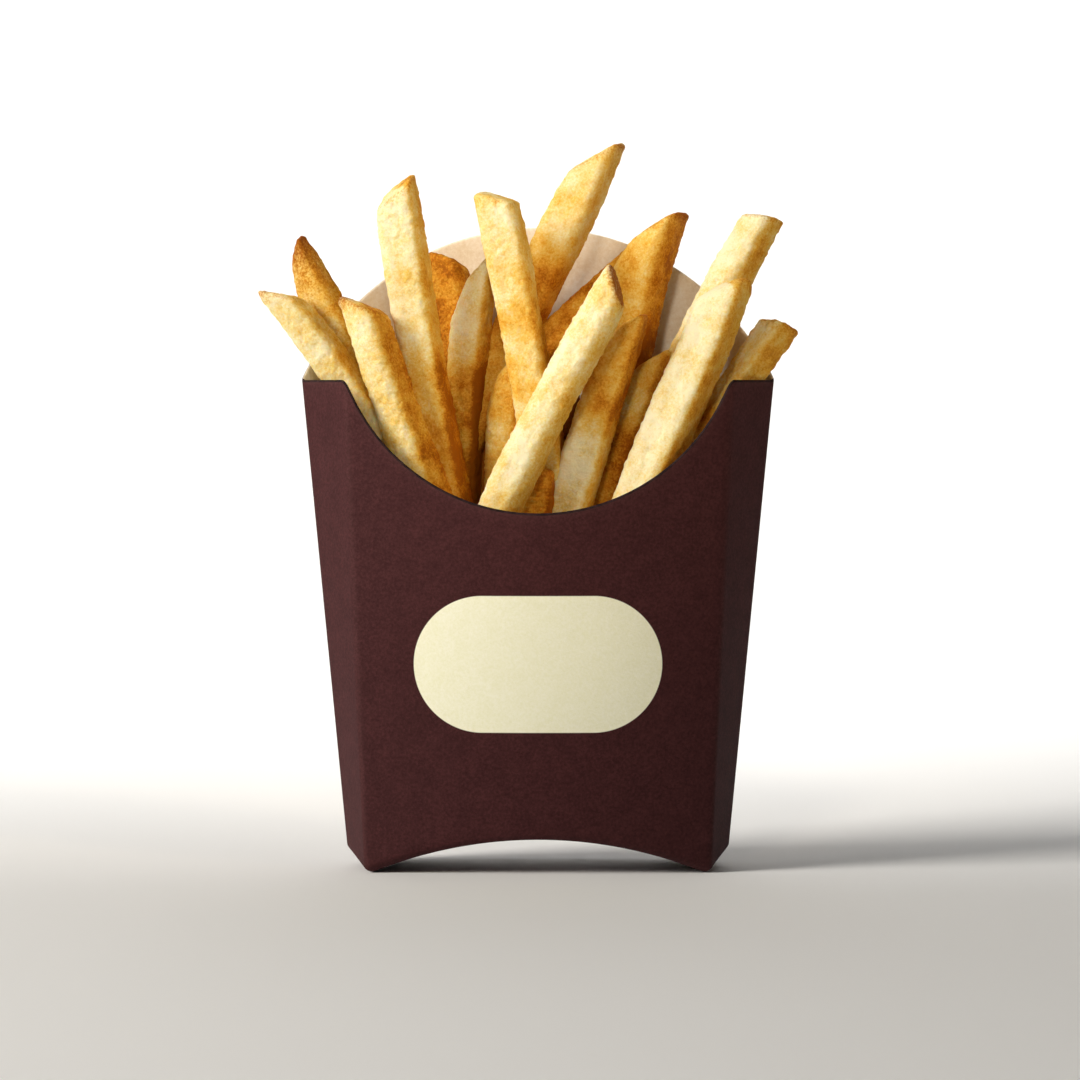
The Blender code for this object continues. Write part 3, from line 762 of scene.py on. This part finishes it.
def friedPotato():
    # potato fried in oil: pale starchy faces with golden patches, a dry grainy crust that browns
    # at the cut ends and on strips of peel, and flesh that lets a little light through
    material, tree, shader = newMaterial("fried_potato_crust")
    coords = addNode(tree, "ShaderNodeTexCoord", out="Object")
    brown = addNode(tree, "ShaderNodeAttribute", {"attribute_name": "brown"}, out="Fac")
    # tone holds each fry's own golden tone plus painted shade on right-hand faces and lower down
    tone = addNode(tree, "ShaderNodeAttribute", {"attribute_name": "tone"}, out="Fac")
    # golden patches most of a fry wide, blotches under half that, and bubbles about half a millimetre
    patches = addNode(tree, noise, links={"Vector": coords, "Scale": 1.0 / (6.5 * mm), "Detail": 3.0,
                                          "Roughness": 0.5})
    blotch = addNode(tree, noise, links={"Vector": coords, "Scale": 1.0 / (2.6 * mm), "Detail": 4.0,
                                         "Roughness": 0.6})
    grain = addNode(tree, noise, links={"Vector": coords, "Scale": 1.0 / (0.5 * mm), "Detail": 3.0,
                                        "Roughness": 0.7})
    blister = addNode(tree, noise, links={"Vector": coords, "Scale": 1.0 / (0.45 * mm), "Detail": 4.0,
                                          "Roughness": 0.7})

    golden = addNode(tree, mathNode, {"operation": "ADD"}, {0: tone, 1: -1.15})
    for layer, weight in ((patches, 0.95), (blotch, 0.55), (grain, 0.80)):
        golden = addNode(tree, mathNode, sumUp, {0: layer, 1: weight, 2: golden})
    flesh = addNode(tree, ramp, links={"Fac": golden}, stops=[
        (0.0, "#F3E8C0"), (0.22, "#EDD797"), (0.45, "#E6BE5E"), (0.65, "#DDA236"), (0.85, "#C47C1A"),
        (1.0, "#A05A0C")])
    browning = addNode(tree, mathNode, sumUp, {0: brown, 1: 0.75, 2: -0.3})
    browning = addNode(tree, mathNode, sumUp, {0: grain, 1: 0.8, 2: browning})
    toast = addNode(tree, ramp, links={"Fac": browning}, stops=[
        (0.2, "#D2902E"), (0.5, "#B46C1C"), (0.9, "#86460A")])
    # toasted from a brown of about 0.3 up, and sooner where blotch and grain are high
    toasted = addNode(tree, mathNode, sumUp, {0: brown, 1: 1.8, 2: -2.35})
    toasted = addNode(tree, mathNode, sumUp, {0: blotch, 1: 1.4, 2: toasted})
    toasted = addNode(tree, mathNode, {**sumUp, "use_clamp": True}, {0: grain, 1: 2.2, 2: toasted})
    color = addNode(tree, "ShaderNodeMix", {"data_type": "RGBA"}, {0: toasted, 6: flesh, 7: toast}, out=2)

    height = addNode(tree, mathNode, sumUp, {0: blister, 1: 1.4, 2: grain})
    bump = addNode(tree, "ShaderNodeBump", links={"Strength": 0.55, "Distance": 0.3 * mm, "Height": height})
    tree.links.new(color, shader.inputs["Base Color"])
    tree.links.new(bump, shader.inputs["Normal"])
    shader.inputs["Roughness"].default_value = 0.65
    shader.inputs["Specular IOR Level"].default_value = 0.07
    shader.inputs["Subsurface Weight"].default_value = 0.3
    shader.inputs["Subsurface Radius"].default_value = (1.0, 0.5, 0.14)
    shader.inputs["Subsurface Scale"].default_value = 2.0 * mm
    return material


addPiece("foldedCarton", makeCarton(), [printedCard(), bareBoard(), paintedEdgeShade()], "carton")
print("carton made")

potato = friedPotato()
numbered = [(number, fry, frySpec["footZ"]) for number, fry in enumerate(visibleFries)]
numbered.append((len(numbered), crossingFry, frySpec["crossingFootZ"]))
firstHalf = len(numbered) // 2
for name, fries in (("friesLeft", numbered[:firstHalf]), ("friesRight", numbered[firstHalf:])):
    mesh = makeFries(name, fries, frySpec["around"], frySpec["bodyRows"])
    addPiece(name, mesh, [potato], "fries")
hidden = [(fillerSpec["firstNumber"] + i, fry, frySpec["footZ"]) for i, fry in enumerate(fillerFries())]
mesh = makeFries("friesBetween", hidden, frySpec["fillerAround"], frySpec["fillerRows"])
addPiece("friesBetween", mesh, [potato], "fries")
addPiece("packedFries", makeCore(), [potato], "fries")
print("fries made")


# Studio: a pale paper sweep, a soft key from the left front, a spot from the front and a warm bounce
# from the right on the fries, and a wash on the wall and floor behind

studio = {
    # the camera's distance in metres, its elevation in degrees and the height that it looks at
    "distance": 0.9, "elevation": 2.0, "targetZ": 0.0690,
    # the photograph's scale and size, and the column where the carton's middle stands in it
    "pixelsPerMetre": 4745.0, "imageSize": 1080, "imageMiddle": 540, "cartonPixel": 538,
    "sensor": 36.0, "clipStart": 0.01,
    "world": 0.04,
}

# azimuth from the camera's side (left is negative), elevation, distance, aim height, power, colour, and
# the square light's size, or the spot's radius and the width of its soft-edged beam in degrees; a tilt
# turns a light away from the object, to so many degrees from straight down towards the wall
lights = {
    "key": (-65.0, 25.0, 1.3, 0.08, 18.5, "#FFFBF4", {"size": 0.5}),
    "over": (-8.0, 34.0, 0.55, 0.132, 7.0, "#FFF4E2", {"radius": 0.06, "beam": 16.5}),
    "bounce": (46.0, 24.0, 0.55, 0.135, 5.2, "#FFE6BE", {"radius": 0.08, "beam": 21.0}),
    "backdropWash": (180.0, 50.0, 0.55, 0.5, 13.0, "#FFFFFF", {"size": 0.9, "tilt": 66.0}),
}


def addLight(name, azimuth, elevation, distance, aimZ, power, color, shape):
    # a soft light on a sphere round the object, facing a point on its upright axis unless it has a tilt
    data = bpy.data.lights.new(name, "SPOT" if "beam" in shape else "AREA")
    if "beam" in shape:
        data.spot_size = math.radians(shape["beam"])
        data.spot_blend = 1.0
        data.shadow_soft_size = shape["radius"]
    else:
        data.shape = "SQUARE"
        data.size = shape["size"]
    data.energy = power
    data.color = hexColor(color)[:3]
    light = bpy.data.objects.new(name, data)
    bpy.context.scene.collection.objects.link(light)
    az, el = math.radians(azimuth), math.radians(elevation)
    light.location = (math.sin(az) * math.cos(el) * distance, -math.cos(az) * math.cos(el) * distance,
                      aimZ + math.sin(el) * distance)
    light.rotation_euler = (math.pi / 2.0 - el, 0.0, az)
    if "tilt" in shape:
        light.rotation_euler = (math.radians(shape["tilt"]), 0.0, 0.0)


# in metres
sweepSpec = {"front": -3.0, "bend": 0.8, "radius": 0.6, "wall": 2.2, "halfWidth": 3.0, "steps": 24,
             "color": "#F4F3F1", "roughness": 0.9}


def makeStage():
    # floor and backdrop in one sweep of matt paper: a flat floor, a quarter circle and a wall behind
    spec = sweepSpec
    turn = np.linspace(0.0, math.pi / 2.0, spec["steps"])
    wallY = spec["bend"] + spec["radius"]
    y = np.concatenate([[spec["front"]], spec["bend"] + spec["radius"] * np.sin(turn), [wallY]])
    z = np.concatenate([[0.0], spec["radius"] * (1.0 - np.cos(turn)), [spec["wall"]]])
    x = np.array([-spec["halfWidth"], spec["halfWidth"]])[:, None]
    points = np.stack([x + 0.0 * y, y + 0.0 * x, z + 0.0 * x], axis=-1).reshape(-1, 3)
    mesh = meshFromArrays("sweep", points / mm - middle, gridFaces(2, len(y), False, flip=True))
    material, _, shader = newMaterial("pale_paper_sweep")
    shader.inputs["Base Color"].default_value = hexColor(spec["color"])
    shader.inputs["Roughness"].default_value = spec["roughness"]
    mesh.materials.append(material)
    sweep = bpy.data.objects.new("sweep", mesh)
    bpy.context.scene.collection.objects.link(sweep)


makeStage()
for name, values in lights.items():
    addLight(name, *values)

world = bpy.data.worlds.new("studioWorld")
world.use_nodes = True
world.node_tree.nodes["Background"].inputs["Color"].default_value = (1.0, 1.0, 1.0, 1.0)
world.node_tree.nodes["Background"].inputs["Strength"].default_value = studio["world"]
bpy.context.scene.world = world
bpy.context.scene.view_settings.view_transform = "Standard"

cameraData = bpy.data.cameras.new("camera")
camera = bpy.data.objects.new("camera", cameraData)
bpy.context.scene.collection.objects.link(camera)
rise = math.radians(studio["elevation"])
camera.location = (
    middle[0] * mm + (studio["imageMiddle"] - studio["cartonPixel"]) / studio["pixelsPerMetre"],
    middle[1] * mm - studio["distance"] * math.cos(rise),
    studio["targetZ"] + studio["distance"] * math.sin(rise),
)
camera.rotation_euler = (math.pi / 2.0 - rise, 0.0, 0.0)
cameraData.sensor_width = studio["sensor"]
cameraData.lens = studio["sensor"] * studio["distance"] / (studio["imageSize"] / studio["pixelsPerMetre"])
cameraData.clip_start = studio["clipStart"]
bpy.context.scene.camera = camera
print("studio made")
